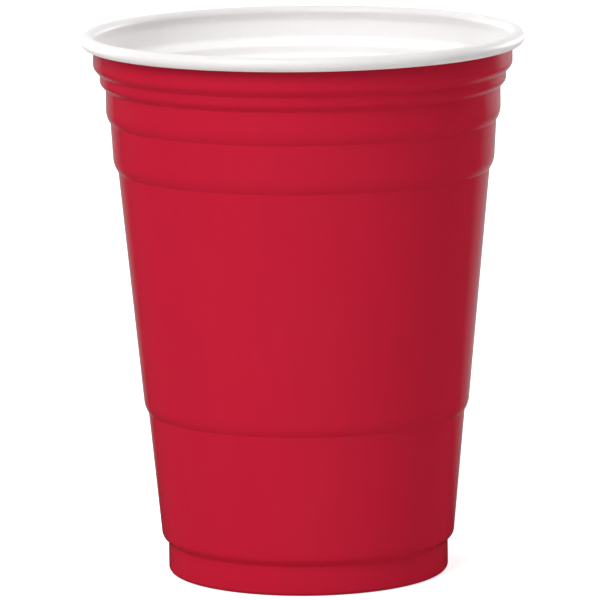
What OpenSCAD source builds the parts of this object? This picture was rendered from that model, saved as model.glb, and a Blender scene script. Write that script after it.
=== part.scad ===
// Disposable party cup: one thin sheet of plastic, drawn into a stepped and tapered cup
// with a recessed base and a lip that is curled outwards. The cup's axis is Z, and it
// stands on Z = 0. All lengths are in millimetres and all angles in degrees.

/* [Overall] */
// Height from the surface the cup stands on to the top of the lip
cup_height = 117; // [100:0.5:140]
// Diameter across the outside of the lip
rim_diameter = 95; // [86:0.5:110]
// Diameter across the upright foot ring
foot_diameter = 60.4; // [54:0.2:68]
// Thickness of the drawn sheet
sheet = 0.36; // [0.3:0.02:0.5]

/* [Bands, from the foot up] */
// Height of the foot ring, up to the step that a nested cup rests on
foot_height = 6.5; // [4:0.1:10]
// Height of the lower wall, from the foot step to the step under the main wall
lower_wall_height = 28.5; // [20:0.1:36]
// Height of the shoulder band, which starts where the main wall ends
shoulder_height = 10.5; // [8:0.1:14]
// Height of the collar band above the shoulder
collar_height = 7.2; // [6:0.1:10]
// Height of the narrow stacking band above the collar
stacking_height = 3.2; // [3:0.1:5]
// Height of the lip band, from the stacking band to the top of the lip
lip_band_height = 8.7; // [7:0.1:12]

/* [Steps, from the foot up] */
// Growth in radius at the step above the foot
foot_step = 1.33; // [0.8:0.01:1.8]
// Growth in radius at the step under the main wall
wall_step = 0.82; // [0.6:0.01:1.5]
// Growth in radius at the step under the shoulder
shoulder_step = 0.98; // [0.6:0.01:1.5]
// Growth in radius at the step under the collar
collar_step = 0.93; // [0.6:0.01:1.5]
// Growth in radius at the step under the stacking band
stacking_step = 1.23; // [0.8:0.01:1.5]
// Growth in radius at the step under the lip band
lip_step = 1.38; // [0.8:0.01:1.6]
// Lean away from upright of the ledges with a soft outer edge: wall, shoulder and collar
soft_lean = 34; // [28:1:50]
// Lean away from upright of the ledges with a crisp outer edge: foot, stacking and lip
crisp_lean = 43; // [35:1:55]
// Radius of the inner corner where a ledge leaves the band below it
root_radius = 0.4; // [0.3:0.05:0.6]

/* [Base] */
// Radius of the edge between the foot ring and the ring the cup stands on
foot_edge_radius = 1; // [0.8:0.1:1.6]
// Width of the ring the cup stands on, edges included
standing_ring_width = 4.5; // [3.5:0.1:6]
// Height of the base panel's underside above the standing surface
base_lift = 3; // [2:0.1:5]
// Diameter of the raised centre of the base panel
base_centre_diameter = 28; // [20:0.5:36]
// Height of the raised centre above the rest of the base panel
base_centre_lift = 0.8; // [0.6:0.1:1.4]
// Lean of the base's sloped rings away from upright
base_lean = 30; // [25:1:40]
// Largest radius of the bends in the base
base_bend_radius = 1.2; // [0.6:0.1:2]

/* [Lip] */
// Outside radius of the curled lip's round section
curl_radius = 1.5; // [1.2:0.05:2]
// Angle that the curl turns through, from the lip band over and down
curl_sweep = 270; // [240:5:310]

/* [Hidden] */

// Straight pieces in each rounded corner, in the curl and in a full turn of the cup
corner_steps = 6;
curl_steps = 36;
turn_steps = 180;

// Share of a ledge's length that the rounding of its outer edge takes up
soft_share = 0.84;
crisp_share = 0.36;

// Share of a sloped ring's length, in the base, that each of its two bends may take up
bend_share = 0.4;

// Share of the wall's taper that the band above each step has, from the foot up
taper_shares = [1, 1, 0.6, 0, 0, 0];

foot_radius = foot_diameter / 2;
curl_centre_radius = rim_diameter / 2 - curl_radius;
curl_centre_height = cup_height - curl_radius;
lip_band_radius = curl_centre_radius - curl_radius + sheet;

// Heights of the steps' roots: the lower two are set from the foot up, and the upper
// four from the lip down, so the main wall takes up any change in height
wall_step_height = foot_height + lower_wall_height;
lip_step_height = cup_height - lip_band_height;
stacking_step_height = lip_step_height - stacking_height;
collar_step_height = stacking_step_height - collar_height;
shoulder_step_height = collar_step_height - shoulder_height;

step_heights = [
    foot_height,
    wall_step_height,
    shoulder_step_height,
    collar_step_height,
    stacking_step_height,
    lip_step_height
];
step_growths = [foot_step, wall_step, shoulder_step, collar_step, stacking_step, lip_step];
ledge_leans = [crisp_lean, soft_lean, soft_lean, soft_lean, crisp_lean, crisp_lean];
edge_shares = [crisp_share, soft_share, soft_share, soft_share, crisp_share, crisp_share];
last_step = len(step_heights) - 1;

// Heights at which each step's ledge ends, and at which the band above it ends
ledge_tops = [for (i = [0 : last_step]) step_heights[i] + step_growths[i] / tan(ledge_leans[i])];
band_tops = [for (i = [0 : last_step]) i < last_step ? step_heights[i + 1] : curl_centre_height];

// The wall's taper, as growth per unit of height: it closes what the steps leave open
// between the foot and the lip band
tapered_heights = [for (i = [0 : last_step]) taper_shares[i] * (band_tops[i] - ledge_tops[i])];
wall_taper = (lip_band_radius - foot_radius - total(step_growths)) / total(tapered_heights);

// Radii at which each step's ledge starts and ends
function root_r(i) = i == 0 ? foot_radius : ledge_r(i - 1) + wall_taper * tapered_heights[i - 1];
function ledge_r(i) = root_r(i) + step_growths[i];

// Sum of a list of numbers
function total(list) = list * [for (item = list) 1];

// Corner of an outline without its rounding, and the unit vector from one corner to another
function flat(corner) = [corner.x, corner.y];
function toward(a, b) = (b - a) / norm(b - a);

// A vector turned to the left by an angle, and by a right angle
function turned(v, angle) = [v.x * cos(angle) - v.y * sin(angle), v.x * sin(angle) + v.y * cos(angle)];
function left_of(v) = [-v.y, v.x];

// Angle by which an outline bends at b, positive to the left
function bend(a, b, c) = atan2(cross(toward(a, b), toward(b, c)), toward(a, b) * toward(b, c));

// Points along the arc that rounds the outline at b
function rounding(a, b, c, radius) =
    let (
        along = toward(a, b),
        angle = bend(a, b, c),
        spoke = left_of(along) * radius * sign(angle),
        centre = b - along * radius * tan(abs(angle) / 2) + spoke
    )
    [for (i = [0 : corner_steps]) centre - turned(spoke, angle * i / corner_steps)];

// Points along an outline of [radius, height, rounding] corners, from its first to its last
function rounded(outline) =
    let (last = len(outline) - 1)
    [
        flat(outline[0]),
        for (i = [1 : last - 1])
            each rounding(flat(outline[i - 1]), flat(outline[i]), flat(outline[i + 1]), outline[i].z),
        flat(outline[last])
    ];

// The same outline moved to its left by a distance, with each rounding kept concentric
function moved_left(outline, distance) =
    let (
        last = len(outline) - 1,
        normals = [for (i = [1 : last]) left_of(toward(flat(outline[i - 1]), flat(outline[i])))]
    )
    [
        for (i = [0 : last])
            let (
                before = normals[max(i - 1, 0)],
                after = normals[min(i, last - 1)],
                place = flat(outline[i]) + (before + after) * distance / (1 + before * after)
            )
            [place.x, place.y, outline[i].z - sign(cross(before, after)) * distance]
    ];

// Points along the curl at a radius from its centre, after the end of the lip band
function curl(radius) = [
    for (i = [1 : curl_steps])
        let (angle = 180 - curl_sweep * i / curl_steps)
        [curl_centre_radius + radius * cos(angle), curl_centre_height + radius * sin(angle)]
];

// Radius of the bends above and below a sloped ring of the base that rises by a lift
function base_bend(lift) =
    min(base_bend_radius, bend_share * lift / cos(base_lean) / tan((90 - base_lean) / 2));

// Corners of the outer face under the base, from the axis out to the foot's edge
ring_inner_radius = foot_radius - standing_ring_width;
panel_radius = ring_inner_radius - base_lift * tan(base_lean);
centre_radius = base_centre_diameter / 2;
centre_foot_radius = centre_radius + base_centre_lift * tan(base_lean);
centre_height = base_lift + base_centre_lift;
base_corners = [
    [0, centre_height, 0],
    [centre_radius, centre_height, base_bend(base_centre_lift)],
    [centre_foot_radius, base_lift, base_bend(base_centre_lift)],
    [panel_radius, base_lift, base_bend(base_lift)],
    [ring_inner_radius, 0, base_bend(base_lift)],
    [foot_radius, 0, foot_edge_radius]
];

// Corners of the outer face at each step: the root and the outer edge of its ledge
function edge_radius(i) =
    let (
        root = [root_r(i), step_heights[i]],
        edge = [ledge_r(i), ledge_tops[i]],
        above = [edge.x + wall_taper * tapered_heights[i], band_tops[i]]
    )
    edge_shares[i] * norm(edge - root) / tan(bend(root, edge, above) / 2);
step_corners = [
    for (i = [0 : last_step])
        each [
            [root_r(i), step_heights[i], root_radius],
            [ledge_r(i), ledge_tops[i], edge_radius(i)]
        ]
];

// The outer face up to where the curl starts, and the inner face beside it
outer_face = concat(base_corners, step_corners, [[lip_band_radius, curl_centre_height, 0]]);
inner_face = moved_left(outer_face, sheet);

// The sheet's two sides in section, each followed through the curl to the cut edge
outer_side = concat(rounded(outer_face), curl(curl_radius - sheet));
inner_side = concat(rounded(inner_face), curl(curl_radius));

function reversed(list) = [for (i = [len(list) - 1 : -1 : 0]) list[i]];

module cup() {
    color("crimson")
        rotate_extrude($fn = turn_steps)
            polygon(concat(outer_side, reversed(inner_side)));
}

cup();
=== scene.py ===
# %% [markdown]
# A party cup is one thin sheet of plastic. The maker heats a two-colour sheet, pushes it into a
# cold mould, cuts it free and rolls its edge outwards, so nothing on it is glued or fitted.
# The CAD model already holds the true size and the true form. This lesson loads that model as a
# fixed frame, turns a smoother skin in its place, and gives the skin its two plastics and its light.

import math
from collections import namedtuple

import bmesh
import bpy
from mathutils import Matrix, Vector


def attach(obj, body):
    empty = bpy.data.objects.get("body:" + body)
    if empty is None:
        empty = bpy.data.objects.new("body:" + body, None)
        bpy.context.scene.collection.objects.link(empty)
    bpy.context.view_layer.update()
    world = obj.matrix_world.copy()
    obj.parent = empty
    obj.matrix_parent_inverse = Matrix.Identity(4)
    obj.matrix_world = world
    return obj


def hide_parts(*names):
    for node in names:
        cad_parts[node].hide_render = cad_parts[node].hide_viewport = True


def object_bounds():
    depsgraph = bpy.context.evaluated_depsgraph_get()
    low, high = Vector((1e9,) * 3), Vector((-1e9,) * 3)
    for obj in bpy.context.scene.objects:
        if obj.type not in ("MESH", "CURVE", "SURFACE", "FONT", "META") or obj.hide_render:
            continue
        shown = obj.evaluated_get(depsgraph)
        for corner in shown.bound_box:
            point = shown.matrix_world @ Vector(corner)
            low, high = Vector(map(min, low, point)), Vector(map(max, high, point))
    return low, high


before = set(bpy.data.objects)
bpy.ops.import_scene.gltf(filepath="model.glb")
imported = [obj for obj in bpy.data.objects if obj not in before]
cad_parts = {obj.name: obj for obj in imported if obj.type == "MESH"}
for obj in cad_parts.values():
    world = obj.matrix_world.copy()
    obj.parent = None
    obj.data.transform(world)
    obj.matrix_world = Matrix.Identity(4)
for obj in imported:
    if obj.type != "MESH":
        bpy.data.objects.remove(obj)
cad_low, cad_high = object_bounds()

MM = 0.001
cad_size_mm = (cad_high - cad_low) / MM
print("CAD nodes:", sorted(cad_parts))
print("CAD size in mm:", [round(side, 3) for side in cad_size_mm])

# %% [markdown]
# The cup is seen from a little above its lip, through a long lens from well over a metre away,
# which is why the lip is such a flat ellipse and the wall's taper looks almost undistorted. The
# place and the lens come from the ellipses of the lip and the foot. A Track To constraint could
# aim the camera too, but three turns multiplied together also hold the slight lean of the view.

# %% Camera
PICTURE_SIDE_PIXELS = 600
FOCAL_LENGTH_PIXELS = 5950.4
SENSOR_MM = 36
CAMERA_PLACE = Vector((0, -1.2624, 0.2713))
LOOK_DOWN = math.radians(9.561)
LOOK_LEFT = math.radians(0.054)
LEAN_RIGHT = math.radians(0.675)

lens = bpy.data.cameras.new("long_lens")
lens.sensor_width = SENSOR_MM
lens.lens = SENSOR_MM * FOCAL_LENGTH_PIXELS / PICTURE_SIDE_PIXELS
camera = bpy.data.objects.new("camera", lens)
camera.matrix_world = (
    Matrix.Translation(CAMERA_PLACE)
    @ Matrix.Rotation(LOOK_LEFT, 4, "Z")
    @ Matrix.Rotation(math.pi / 2 - LOOK_DOWN, 4, "X")
    @ Matrix.Rotation(-LEAN_RIGHT, 4, "Z")
)
bpy.context.scene.collection.objects.link(camera)
bpy.context.scene.camera = camera
print("lens in mm:", round(lens.lens, 1))

# %% [markdown]
# A body of revolution is settled by its section, the line that a saw cut through the axis would
# show. Here that is the sheet's outer face: a recessed base, a foot ring, and six steps that
# stiffen the thin wall and keep stacked cups from jamming. The whole height and the lip come
# from the CAD box, and the other sizes are those of the CAD model, in millimetres.

# %% Sizes of the section
CUP_HEIGHT = cad_size_mm.z
LIP_RADIUS = min(-cad_low.x, cad_high.x, -cad_low.y, cad_high.y) / MM
FOOT_RADIUS = 30.2
SHEET = 0.36
CURL_RADIUS = 1.5
CURL_SWEEP = math.radians(270)

# Where the lip's round section has its centre, and how far out the band below it stands
CURL_CENTRE = Vector((LIP_RADIUS - CURL_RADIUS, CUP_HEIGHT - CURL_RADIUS))
LIP_BAND_RADIUS = CURL_CENTRE.x - CURL_RADIUS + SHEET

# A soft step has a well rounded outer edge, and a crisp one an edge that catches the light
StepKind = namedtuple("StepKind", "lean edge_share")
SOFT = StepKind(lean=math.radians(34), edge_share=0.84)
CRISP = StepKind(lean=math.radians(43), edge_share=0.36)
ROOT_RADIUS = 0.4

# Each step from the foot up: the height of its root, its growth in radius, its kind, and the
# share of the wall's taper that the band above it has. The upper four are counted down from the
# top of the lip
Step = namedtuple("Step", "height growth kind taper_share")
steps = [
    Step(height=6.5, growth=1.33, kind=CRISP, taper_share=1),
    Step(height=35, growth=0.82, kind=SOFT, taper_share=1),
    Step(height=CUP_HEIGHT - 29.6, growth=0.98, kind=SOFT, taper_share=0.6),
    Step(height=CUP_HEIGHT - 19.1, growth=0.93, kind=SOFT, taper_share=0),
    Step(height=CUP_HEIGHT - 11.9, growth=1.23, kind=CRISP, taper_share=0),
    Step(height=CUP_HEIGHT - 8.7, growth=1.38, kind=CRISP, taper_share=0),
]
print("steps at mm:", [round(step.height, 1) for step in steps])

# %% [markdown]
# An outline is easiest to think of as sharp corners, each with a rounding. The inner face is the
# same outline moved sideways by the sheet's thickness, with every rounding kept concentric, which
# is how a bent sheet behaves. A Solidify modifier could give the thickness as well, but it
# pinches in tight bends, while two parallel outlines keep the sheet even all the way to the lip.

# %% Helpers for outlines
Corner = namedtuple("Corner", "place rounding")
ARC_STEP = math.radians(6)


def left_of(direction):
    """A direction turned to the left by a right angle."""
    return Vector((-direction.y, direction.x))


def bend_at(before, corner, after):
    """Angle by which an outline bends at a corner, positive to the left."""
    arriving = corner - before
    leaving = after - corner
    return math.atan2(arriving.cross(leaving), arriving.dot(leaving))


def round_corner(before, corner, after):
    """Points along the arc that rounds a corner, given the places before and after it."""
    along = (corner.place - before).normalized()
    bend = bend_at(before, corner.place, after)
    spoke = left_of(along) * math.copysign(corner.rounding, bend)
    centre = corner.place - along * corner.rounding * math.tan(abs(bend) / 2) + spoke
    arc_steps = math.ceil(abs(bend) / ARC_STEP)
    turns = [Matrix.Rotation(bend * i / arc_steps, 2) for i in range(arc_steps + 1)]
    return [centre - turn @ spoke for turn in turns]


def rounded(outline):
    """Points along an outline of corners, from its first corner to its last."""
    points = [outline[0].place]
    for before, corner, after in zip(outline, outline[1:], outline[2:]):
        points += round_corner(before.place, corner, after.place)
    return points + [outline[-1].place]


def moved_left(outline, distance):
    """The same outline moved to its left, with each rounding kept concentric."""
    pairs = zip(outline, outline[1:])
    sides = [left_of((end.place - start.place).normalized()) for start, end in pairs]
    moved = []
    for corner, before, after in zip(outline, sides[:1] + sides, sides + sides[-1:]):
        place = corner.place + (before + after) * distance / (1 + before.dot(after))
        tighter = math.copysign(distance, before.cross(after))
        moved.append(Corner(place, corner.rounding - tighter))
    return moved


def curl(radius):
    """Points along the lip's curl at a radius from its centre, after the end of the lip band."""
    arc_steps = math.ceil(CURL_SWEEP / ARC_STEP)
    angles = [math.pi - CURL_SWEEP * i / arc_steps for i in range(1, arc_steps + 1)]
    return [CURL_CENTRE + radius * Vector((math.cos(a), math.sin(a))) for a in angles]


print("degrees in each step of a rounding:", round(math.degrees(ARC_STEP)))

# %% [markdown]
# The base of such a cup is pushed up into a shallow panel, so that the cup stands on a ring and
# doesn't rock. The panel is a few straight lines, so its corners are written down one by one.

# %% Corners under the base
FOOT_EDGE_RADIUS = 1
STANDING_RING_WIDTH = 4.5
BASE_LIFT = 3
BASE_BEND_RADIUS = 1.2
BASE_CENTRE_RADIUS = 14
BASE_CENTRE_LIFT = 0.8
BASE_CENTRE_BEND_RADIUS = 0.64
BASE_LEAN = math.radians(30)

ring_inner_radius = FOOT_RADIUS - STANDING_RING_WIDTH
panel_radius = ring_inner_radius - BASE_LIFT * math.tan(BASE_LEAN)
centre_foot_radius = BASE_CENTRE_RADIUS + BASE_CENTRE_LIFT * math.tan(BASE_LEAN)
centre_height = BASE_LIFT + BASE_CENTRE_LIFT
base_corners = [
    Corner(Vector((0, centre_height)), 0),
    Corner(Vector((BASE_CENTRE_RADIUS, centre_height)), BASE_CENTRE_BEND_RADIUS),
    Corner(Vector((centre_foot_radius, BASE_LIFT)), BASE_CENTRE_BEND_RADIUS),
    Corner(Vector((panel_radius, BASE_LIFT)), BASE_BEND_RADIUS),
    Corner(Vector((ring_inner_radius, 0)), BASE_BEND_RADIUS),
    Corner(Vector((FOOT_RADIUS, 0)), FOOT_EDGE_RADIUS),
]
print("width of the base panel in mm:", round(2 * panel_radius, 1))

# %% [markdown]
# From the foot the outline climbs over the steps. The growth of each step and the width of the
# lip are fixed, so the taper of the walls between them is what is left over. It is worked out
# once for all the bands, and a loop then sets the two corners of each step.

# %% Corners of the stepped wall
band_tops = [step.height for step in steps[1:]] + [CURL_CENTRE.y]
ledge_tops = [step.height + step.growth / math.tan(step.kind.lean) for step in steps]
tapered_heights = [
    step.taper_share * (band_top - ledge_top)
    for step, band_top, ledge_top in zip(steps, band_tops, ledge_tops)
]
growth_left = LIP_BAND_RADIUS - FOOT_RADIUS - sum(step.growth for step in steps)
wall_taper = growth_left / sum(tapered_heights)

wall_corners = []
root_radius = FOOT_RADIUS
for step, band_top, ledge_top, tapered in zip(steps, band_tops, ledge_tops, tapered_heights):
    root = Vector((root_radius, step.height))
    edge = Vector((root_radius + step.growth, ledge_top))
    above = Vector((edge.x + wall_taper * tapered, band_top))
    rounded_length = step.kind.edge_share * (edge - root).length
    edge_rounding = rounded_length / math.tan(bend_at(root, edge, above) / 2)
    wall_corners += [Corner(root, ROOT_RADIUS), Corner(edge, edge_rounding)]
    root_radius = above.x

curl_start = Corner(Vector((LIP_BAND_RADIUS, CURL_CENTRE.y)), 0)
print("taper of the wall in degrees:", round(math.degrees(math.atan(wall_taper)), 2))

# %% [markdown]
# The two faces meet at the cut edge inside the curl, so together they are one line around the
# sheet's section. A number stored on each of its points says whether the red or the white side is
# meant. A material could be chosen by height or by facing too, but neither tells the sides apart.

# %% Section through the sheet
outer_face = base_corners + wall_corners + [curl_start]
inner_face = moved_left(outer_face, SHEET)
outer_side = rounded(outer_face) + curl(CURL_RADIUS - SHEET)
inner_side = rounded(inner_face) + curl(CURL_RADIUS)
section_points = outer_side + inner_side[::-1]
white_side = [0.0] * len(outer_side) + [1.0] * len(inner_side)

section_mesh = bpy.data.meshes.new("cup_section")
section_mesh.from_pydata(
    [(point.x * MM, 0, cad_low.z + point.y * MM) for point in section_points],
    [(i, i + 1) for i in range(len(section_points) - 1)],
    [],
)
white_attribute = section_mesh.attributes.new("white_side", "FLOAT", "POINT")
white_attribute.data.foreach_set("value", white_side)
print("points in the section:", len(section_points))

# %% [markdown]
# Both plastics are impact polystyrene, rolled together as one sheet: a tough, slightly waxy
# plastic. Drawing it into the mould stretches its pigment into faint upright streaks and leaves a
# very fine ripple, so its reflections are soft at their edges. The mould polishes the red side,
# while the white side stays satin. Light also soaks into the white, and because the sheet is so
# thin, some of what falls on the outside comes through and brightens the inside. One function
# builds the finish of either side, because only its colour, gloss and soak differ.

# %% Helpers for nodes and colours
def linear(hex_colour):
    """A hex colour as it is seen on screen, turned to the linear values that shaders use."""
    shares = [int(hex_colour[i : i + 2], 16) / 255 for i in (1, 3, 5)]
    return [s / 12.92 if s <= 0.04045 else ((s + 0.055) / 1.055) ** 2.4 for s in shares] + [1]


def add_node(tree, kind, inputs=None, **settings):
    """Add a node, make its settings, and give each input a value or a link from an output."""
    node = tree.nodes.new(kind)
    for name, value in settings.items():
        setattr(node, name, value)
    for socket, value in (inputs or {}).items():
        if isinstance(value, bpy.types.NodeSocket):
            tree.links.new(value, node.inputs[socket])
        else:
            node.inputs[socket].default_value = value
    return node


def empty_tree(owner):
    """The node tree of a material or a world, with nothing in it yet."""
    owner.use_nodes = True
    owner.node_tree.nodes.clear()
    return owner.node_tree


def pattern_scale(width_mm):
    """The scale at which a pattern is so many millimetres wide."""
    return 1 / (width_mm * MM)


print("mid grey as a linear value:", round(linear("#808080")[0], 3))

# %% Finish of the drawn sheet
# The real streaks and ripples are a few tenths of a millimetre wide, too fine to show from this
# far, so they are drawn as wide as they need to be to show
STREAK_WIDTH_MM = 2.5
STREAK_LENGTH_MM = 70
RIPPLE_WIDTH_MM = 1.6
RIPPLE_HEIGHT_MM = 0.006
GLOSS_PATCH_MM = 14
POLYSTYRENE_IOR = 1.55

# How many finer layers of noise each pattern has within its main one
STREAK_DETAIL = 2
GLOSS_PATCH_DETAIL = 3
RIPPLE_DETAIL = 1

# How deep light soaks in, which is more than the sheet's thickness, and the shares of that depth
# that red, green and blue light reach
SOAK_DEPTH_MM = 1.2
SOAK_REACHES = (1, 1, 1)


def drawn_sheet(name, full_colour, thin_colour, least_roughness, most_roughness, soak_share):
    """A material for one face of the sheet, with its colour where it is full and where thin."""
    material = bpy.data.materials.new(name)
    tree = empty_tree(material)
    place = add_node(tree, "ShaderNodeTexCoord").outputs["Object"]

    across = pattern_scale(STREAK_WIDTH_MM)
    along = pattern_scale(STREAK_LENGTH_MM)
    drawn = add_node(tree, "ShaderNodeMapping", {"Vector": place, "Scale": (across, across, along)})
    streaks = add_node(
        tree,
        "ShaderNodeTexNoise",
        {"Vector": drawn.outputs[0], "Scale": 1, "Detail": STREAK_DETAIL},
    )
    # Inputs 6 and 7 of a Mix node, and its output 2, are the ones for colours
    colour = add_node(
        tree,
        "ShaderNodeMix",
        {"Factor": streaks.outputs["Fac"], 6: linear(full_colour), 7: linear(thin_colour)},
        data_type="RGBA",
    )

    patches = add_node(
        tree,
        "ShaderNodeTexNoise",
        {"Vector": place, "Scale": pattern_scale(GLOSS_PATCH_MM), "Detail": GLOSS_PATCH_DETAIL},
    )
    roughness = add_node(
        tree,
        "ShaderNodeMapRange",
        {"Value": patches.outputs["Fac"], "To Min": least_roughness, "To Max": most_roughness},
    )

    ripple = add_node(
        tree,
        "ShaderNodeTexNoise",
        {"Vector": place, "Scale": pattern_scale(RIPPLE_WIDTH_MM), "Detail": RIPPLE_DETAIL},
    )
    surface = add_node(
        tree,
        "ShaderNodeBump",
        {"Height": ripple.outputs["Fac"], "Distance": RIPPLE_HEIGHT_MM * MM},
    )
    plastic = add_node(
        tree,
        "ShaderNodeBsdfPrincipled",
        {
            "Base Color": colour.outputs[2],
            "Roughness": roughness.outputs[0],
            "IOR": POLYSTYRENE_IOR,
            "Normal": surface.outputs[0],
            "Subsurface Weight": soak_share,
            "Subsurface Radius": SOAK_REACHES,
            "Subsurface Scale": SOAK_DEPTH_MM * MM,
        },
    )
    add_node(tree, "ShaderNodeOutputMaterial", {"Surface": plastic.outputs[0]})
    return material


# Polished red gives the eye a deep colour with a crisp sheen along its edges, and satin white a
# soft bowl of light with no mirror image in it
red_face = drawn_sheet(
    "red_impact_polystyrene",
    full_colour="#C51B36",
    thin_colour="#BF1A34",
    least_roughness=0.07,
    most_roughness=0.13,
    soak_share=0,
)
white_face = drawn_sheet(
    "white_impact_polystyrene",
    full_colour="#F7F5F4",
    thin_colour="#F4F1F0",
    least_roughness=0.42,
    most_roughness=0.52,
    soak_share=0.6,
)
print("materials:", red_face.name, white_face.name)

# %% [markdown]
# A real cup gets its roundness from the mould. Blender's Spin or Screw tools could turn the
# section too, but a Geometry Nodes tree keeps the rule in view: lay out a grid with one row for
# each section point and one column for each step of the turn, move every grid point to its
# section point turned about Z, then weld the seam and the two poles.

# %% Tree that turns the section: the grid
turning = bpy.data.node_groups.new("turn_section", "GeometryNodeTree")
for name, socket_type in (
    ("Section", "NodeSocketGeometry"),
    ("Turn Steps", "NodeSocketInt"),
    ("Weld Distance", "NodeSocketFloat"),
    ("Outer Finish", "NodeSocketMaterial"),
    ("Inner Finish", "NodeSocketMaterial"),
):
    turning.interface.new_socket(name, in_out="INPUT", socket_type=socket_type)
turning.interface.new_socket("Cup", in_out="OUTPUT", socket_type="NodeSocketGeometry")

given = add_node(turning, "NodeGroupInput").outputs
section_size = add_node(
    turning, "GeometryNodeAttributeDomainSize", {"Geometry": given["Section"]}, component="MESH"
)
columns = add_node(
    turning, "FunctionNodeIntegerMath", {0: given["Turn Steps"], 1: 1}, operation="ADD"
).outputs[0]
grid = add_node(
    turning,
    "GeometryNodeMeshGrid",
    {"Vertices X": section_size.outputs["Point Count"], "Vertices Y": columns},
)
index = add_node(turning, "GeometryNodeInputIndex").outputs[0]
row = add_node(turning, "FunctionNodeIntegerMath", {0: index, 1: columns}, operation="DIVIDE")
column = add_node(turning, "FunctionNodeIntegerMath", {0: index, 1: columns}, operation="MODULO")
print("inputs of the tree:", [socket.name for socket in given if socket.name])

# %% Tree that turns the section: the turned points
section_place = add_node(
    turning,
    "GeometryNodeSampleIndex",
    {
        "Geometry": given["Section"],
        "Value": add_node(turning, "GeometryNodeInputPosition").outputs[0],
        "Index": row.outputs[0],
    },
    data_type="FLOAT_VECTOR",
)
step_angle = add_node(
    turning, "ShaderNodeMath", {0: -2 * math.pi, 1: given["Turn Steps"]}, operation="DIVIDE"
)
angle = add_node(
    turning, "ShaderNodeMath", {0: column.outputs[0], 1: step_angle.outputs[0]}, operation="MULTIPLY"
)
turned_place = add_node(
    turning,
    "ShaderNodeVectorRotate",
    {"Vector": section_place.outputs[0], "Angle": angle.outputs[0]},
    rotation_type="Z_AXIS",
)
turned_grid = add_node(
    turning,
    "GeometryNodeSetPosition",
    {"Geometry": grid.outputs["Mesh"], "Position": turned_place.outputs[0]},
)
print("nodes so far:", len(turning.nodes))

# %% Tree that turns the section: the two sides and the welds
# A face counts as white when more than this share of its corners lie on the white side. The strip
# along the sheet's cut edge has half of them there, so it is white as well
WHITE_SHARE = 0.25

white_side_name = white_attribute.name
section_side = add_node(
    turning, "GeometryNodeInputNamedAttribute", {"Name": white_side_name}, data_type="FLOAT"
)
point_side = add_node(
    turning,
    "GeometryNodeSampleIndex",
    {
        "Geometry": given["Section"],
        "Value": section_side.outputs[0],
        "Index": row.outputs[0],
    },
    data_type="FLOAT",
)
sided = add_node(
    turning,
    "GeometryNodeStoreNamedAttribute",
    {"Geometry": turned_grid.outputs[0], "Name": white_side_name, "Value": point_side.outputs[0]},
    data_type="FLOAT",
    domain="POINT",
)
welded = add_node(
    turning,
    "GeometryNodeMergeByDistance",
    {"Geometry": sided.outputs[0], "Distance": given["Weld Distance"]},
)
is_white = add_node(
    turning,
    "FunctionNodeCompare",
    {0: section_side.outputs[0], 1: WHITE_SHARE},
    operation="GREATER_THAN",
)
realized = add_node(turning, "GeometryNodeRealizeInstances", {"Geometry": welded.outputs[0]})
outside = add_node(
    turning,
    "GeometryNodeSetMaterial",
    {"Geometry": realized.outputs[0], "Material": given["Outer Finish"]},
)
inside = add_node(
    turning,
    "GeometryNodeSetMaterial",
    {
        "Geometry": outside.outputs[0],
        "Selection": is_white.outputs[0],
        "Material": given["Inner Finish"],
    },
)
add_node(turning, "NodeGroupOutput", {"Cup": inside.outputs[0]})
print("nodes in the tree:", len(turning.nodes))

# %% [markdown]
# The tree runs as a modifier on the section line. Its inputs are set by the identifier of each
# socket, because two sockets may share a name. The result is then copied to a plain mesh, which
# is what exports well, and its faces are turned outwards. Weighted normals come last: they give
# the long walls the say over the narrow roundings, so flat bands shade flat.

# %% Turn the section into the cup
TURN_STEPS = 192
WELD_DISTANCE = 0.001 * MM


def evaluated_mesh(piece):
    """A plain mesh of what a piece looks like with its modifiers."""
    depsgraph = bpy.context.evaluated_depsgraph_get()
    return bpy.data.meshes.new_from_object(piece.evaluated_get(depsgraph), depsgraph=depsgraph)


cup = bpy.data.objects.new("cup_sheet", section_mesh)
bpy.context.scene.collection.objects.link(cup)
modifier = cup.modifiers.new("turn_section", "NODES")
modifier.node_group = turning
tree_inputs = {
    "Turn Steps": TURN_STEPS,
    "Weld Distance": WELD_DISTANCE,
    "Outer Finish": red_face,
    "Inner Finish": white_face,
}
for item in turning.interface.items_tree:
    if item.name in tree_inputs:
        modifier[item.identifier] = tree_inputs[item.name]
cup.data = evaluated_mesh(cup)
cup.modifiers.remove(modifier)

# A grid comes with an empty first material slot, which nothing uses any more
cup.data.materials.pop(index=0)
print("faces:", len(cup.data.polygons), [finish.name for finish in cup.data.materials])

# %% Turn the faces outwards
CM3_PER_M3 = 1e6

shell = bmesh.new()
shell.from_mesh(cup.data)
bmesh.ops.recalc_face_normals(shell, faces=shell.faces)
for face in shell.faces:
    face.smooth = True
open_edges = sum(not edge.is_manifold for edge in shell.edges)
volume_cm3 = shell.calc_volume(signed=True) * CM3_PER_M3
shell.to_mesh(cup.data)
shell.free()
print("open edges:", open_edges, "plastic in cm3:", round(volume_cm3, 2))

# %% Shade the flat bands flat
# The highest weight, at which the larger faces around a point settle how it is shaded
LARGE_FACE_WEIGHT = 100

weighted = cup.modifiers.new("weighted_normals", "WEIGHTED_NORMAL")
weighted.weight = LARGE_FACE_WEIGHT
cup.data = evaluated_mesh(cup)
cup.modifiers.remove(weighted)
cup.data.name = "cup_sheet"
cup.data.calc_loop_triangles()
print("triangles:", len(cup.data.loop_triangles))

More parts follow.
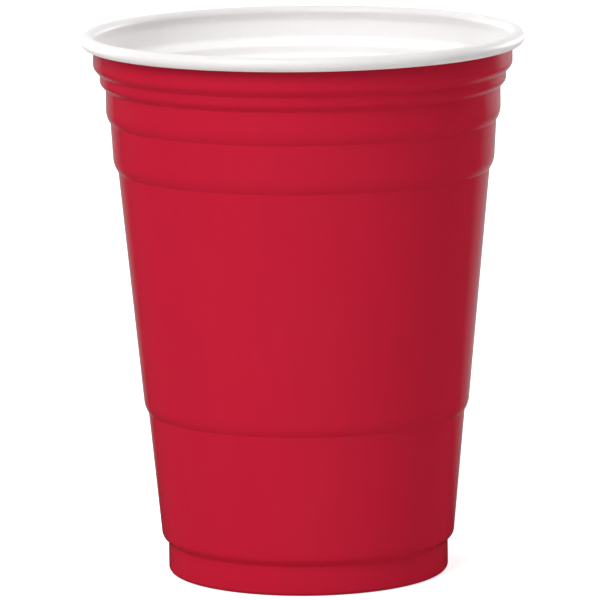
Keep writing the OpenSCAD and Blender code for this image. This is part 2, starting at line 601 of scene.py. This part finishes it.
# %% [markdown]
# The light is that of a plain studio: a large soft lamp high up to the left in front, which puts
# the band under the lip in a soft shade, a fainter glow from the room's walls and ceiling, and two
# weak lamps at the sides behind, which keep the cup's edges and its back from going dull. A lamp's
# watts are worked out from the light that should arrive, so that a colour renders about as it is
# written, from any side. The world is white to the camera and to reflections, and dimmer where it
# only lights.

# %% World
WALL_LEVEL = 0.22
WALL_TOP = math.radians(17)
CEILING_LEVEL = 0.69
CEILING_EDGE = math.radians(53)
WHITE = (1, 1, 1, 1)

scene = bpy.context.scene
scene.view_settings.view_transform = "Standard"


def seen_share(tree):
    """An output that is 1 for rays that show a thing, and 0 for those that only light it."""
    ray = add_node(tree, "ShaderNodeLightPath").outputs
    seen = ray["Is Camera Ray"]
    for kind in ("Is Glossy Ray", "Is Transmission Ray"):
        either = add_node(tree, "ShaderNodeMath", {0: seen, 1: ray[kind]}, operation="MAXIMUM")
        seen = either.outputs[0]
    return seen


world = bpy.data.worlds.new("white_studio")
sky = empty_tree(world)
direction = add_node(sky, "ShaderNodeTexCoord").outputs["Generated"]
height = add_node(sky, "ShaderNodeSeparateXYZ", {0: direction}).outputs["Z"]
room_level = add_node(
    sky,
    "ShaderNodeMapRange",
    {
        "Value": height,
        "From Min": math.sin(WALL_TOP),
        "From Max": math.sin(CEILING_EDGE),
        "To Min": WALL_LEVEL,
        "To Max": CEILING_LEVEL,
    },
)
sky_light = add_node(
    sky, "ShaderNodeBackground", {"Color": WHITE, "Strength": room_level.outputs[0]}
)
white_view = add_node(sky, "ShaderNodeBackground", {"Color": WHITE, "Strength": 1})
mixed_sky = add_node(
    sky,
    "ShaderNodeMixShader",
    {0: seen_share(sky), 1: sky_light.outputs[0], 2: white_view.outputs[0]},
)
add_node(sky, "ShaderNodeOutputWorld", {"Surface": mixed_sky.outputs[0]})
scene.world = world
print("light of the room's walls and ceiling:", WALL_LEVEL, CEILING_LEVEL)

# %% Lamps
# The distance and the sides of the lamps are in metres, and their angles in degrees
LAMP_DISTANCE = 1.2
EDGE_LAMP_AZIMUTH = 135


def add_lamp(name, azimuth, elevation, side, level):
    """A square soft lamp aimed at the cup's middle, azimuth from the camera's side to the right.

    The level is the light that it lays on a face turned to it, where 1 shows a colour as written.
    """
    lamp = bpy.data.lights.new(name, "AREA")
    lamp.size = side
    # A lamp lays watts / (pi * distance ** 2) on a face, which sends on that light divided by pi
    lamp.energy = level * (math.pi * LAMP_DISTANCE) ** 2
    turn = (
        Matrix.Rotation(math.radians(azimuth), 4, "Z")
        @ Matrix.Rotation(math.radians(90 - elevation), 4, "X")
    )
    middle = Vector((0, 0, cad_low.z + CUP_HEIGHT * MM / 2))
    holder = bpy.data.objects.new(name, lamp)
    holder.matrix_world = Matrix.Translation(middle) @ turn @ Matrix.Translation((0, 0, LAMP_DISTANCE))
    scene.collection.objects.link(holder)
    print(name, "watts:", round(lamp.energy, 2))


add_lamp("key_lamp", azimuth=-30, elevation=44, side=0.6, level=0.63)
for name, azimuth in (("right_edge_lamp", EDGE_LAMP_AZIMUTH), ("left_edge_lamp", -EDGE_LAMP_AZIMUTH)):
    add_lamp(name, azimuth, elevation=8, side=0.3, level=0.45)

# %% [markdown]
# The floor is a wide pale sheet of paper. To the camera, and to anything that mirrors or looks
# through, it glows up to white, apart from the cup's own soft shadow, which keeps the cup on the
# ground. The light itself finds plain paper, which throws some of it up under the ledges and lip.

# %% Floor
STAGE_SIDE = 6
FLOOR_GAP = 0.02 * MM
PAPER_COLOUR = "#EBEBEB"
PAPER_GLOW = 0.6


def add_stage(name, depth):
    """A wide flat square of the stage, so far below the cup's foot."""
    reach = STAGE_SIDE / 2
    corners = [(-reach, -reach), (reach, -reach), (reach, reach), (-reach, reach)]
    mesh = bpy.data.meshes.new(name)
    mesh.from_pydata([(x, y, cad_low.z - depth) for x, y in corners], [], [range(len(corners))])
    piece = bpy.data.objects.new(name, mesh)
    scene.collection.objects.link(piece)
    return piece


floor = add_stage("floor", FLOOR_GAP)

paper = bpy.data.materials.new("studio_paper")
paper_tree = empty_tree(paper)
shade = add_node(paper_tree, "ShaderNodeBsdfDiffuse", {"Color": linear(PAPER_COLOUR)})
glow_strength = add_node(
    paper_tree, "ShaderNodeMath", {0: seen_share(paper_tree), 1: PAPER_GLOW}, operation="MULTIPLY"
)
glow = add_node(
    paper_tree, "ShaderNodeEmission", {"Color": WHITE, "Strength": glow_strength.outputs[0]}
)
white_paper = add_node(paper_tree, "ShaderNodeAddShader", {0: shade.outputs[0], 1: glow.outputs[0]})
add_node(paper_tree, "ShaderNodeOutputMaterial", {"Surface": white_paper.outputs[0]})
floor.data.materials.append(paper)
print("floor material:", paper.name)

# %% [markdown]
# A glossy wall that stands on white paper mirrors the paper, and its colour turns milky. To keep
# the colour deep, a photographer lays dark card around the thing and lets it run out to pale
# behind it, here a little to the right, which leaves a soft bright line along the edges. In
# Blender such a card can lie all around the cup and still stay out of the picture, because only
# reflections may see it.

# %% Dark card
CARD_GAP = 0.01 * MM
CARD_DARK = 0.03
CARD_PALE = 0.36
PALE_SPREAD = math.radians(46)
PALE_TURN = math.radians(7)

card = add_stage("dark_card", CARD_GAP)
card.visible_camera = False
card.visible_diffuse = False
card.visible_transmission = False
card.visible_volume_scatter = False
card.visible_shadow = False

dull_card = bpy.data.materials.new("dull_grey_card")
card_tree = empty_tree(dull_card)
card_place = add_node(card_tree, "ShaderNodeTexCoord").outputs["Object"]
from_axis = add_node(card_tree, "ShaderNodeVectorMath", {0: card_place}, operation="NORMALIZE")
pale_direction = (math.sin(PALE_TURN), math.cos(PALE_TURN), 0)
toward_pale = add_node(
    card_tree,
    "ShaderNodeVectorMath",
    {0: from_axis.outputs[0], 1: pale_direction},
    operation="DOT_PRODUCT",
).outputs["Value"]
card_grey = add_node(
    card_tree,
    "ShaderNodeMapRange",
    {
        "Value": toward_pale,
        "From Min": math.cos(PALE_SPREAD),
        "To Min": CARD_DARK,
        "To Max": CARD_PALE,
    },
)
dull = add_node(card_tree, "ShaderNodeBsdfDiffuse", {"Color": card_grey.outputs[0]})
add_node(card_tree, "ShaderNodeOutputMaterial", {"Surface": dull.outputs[0]})
card.data.materials.append(dull_card)
print("card turns pale behind the cup within degrees:", round(math.degrees(PALE_SPREAD)))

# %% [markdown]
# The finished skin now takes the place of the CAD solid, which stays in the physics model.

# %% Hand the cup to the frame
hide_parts("cup")
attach(cup, "root")
